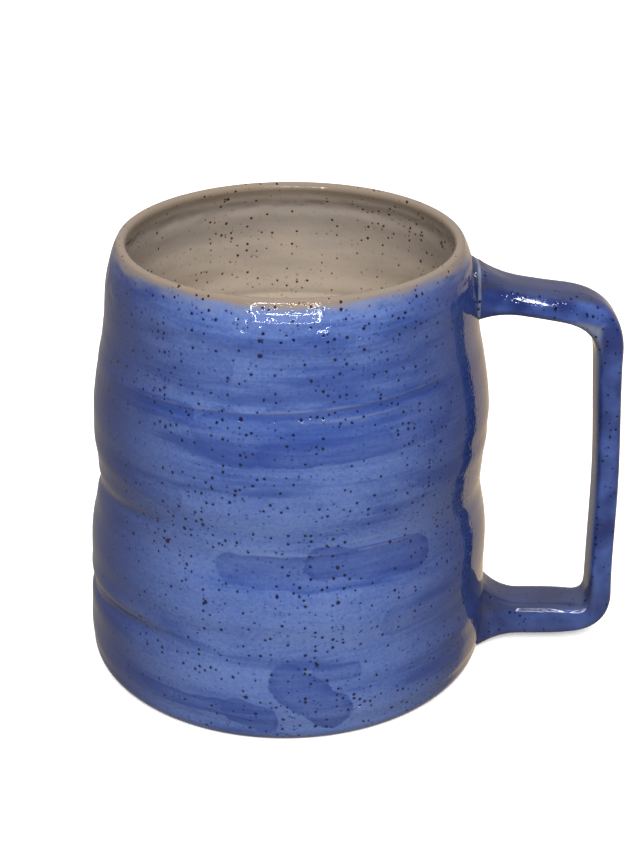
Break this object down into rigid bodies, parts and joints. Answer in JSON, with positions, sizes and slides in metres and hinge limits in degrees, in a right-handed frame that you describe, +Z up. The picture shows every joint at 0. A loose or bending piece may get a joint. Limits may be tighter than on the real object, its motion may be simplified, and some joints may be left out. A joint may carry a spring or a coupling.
{
  "type": "ceramic mug",
  "caption": "Wheel-thrown stoneware mug with a waisted wall, a square strap handle and a glossy translucent glaze over speckled clay.",
  "frame": {"origin": "centre of the flat base, on the surface the mug stands on", "axes": "+Z up the vessel's axis to the mouth, +X towards the handle, +Y to the left of the handle seen from above with the handle pointing away"},
  "size_m": [0.133, 0.101, 0.11],
  "materials": {
    "vessel_body": "bare speckled stoneware, matt, seen on the base",
    "handle_strap": "bare speckled stoneware under the glaze",
    "upper_joint_coil": "bare speckled stoneware under the glaze",
    "lower_joint_coil": "bare speckled stoneware under the glaze",
    "liner_glaze": "glossy pale cream glaze with iron specks",
    "body_glaze": "glossy translucent blue glaze, brushed, with iron specks",
    "handle_glaze": "glossy translucent blue glaze, brushed, with iron specks"
  },
  "bodies": {
    "root": {"vessel_body": "vessel_body", "handle_strap": "handle_strap", "upper_joint_coil": "upper_joint_coil", "lower_joint_coil": "lower_joint_coil", "liner_glaze": "liner_glaze", "body_glaze": "body_glaze", "handle_glaze": "handle_glaze"}
  },
  "joints": []
}
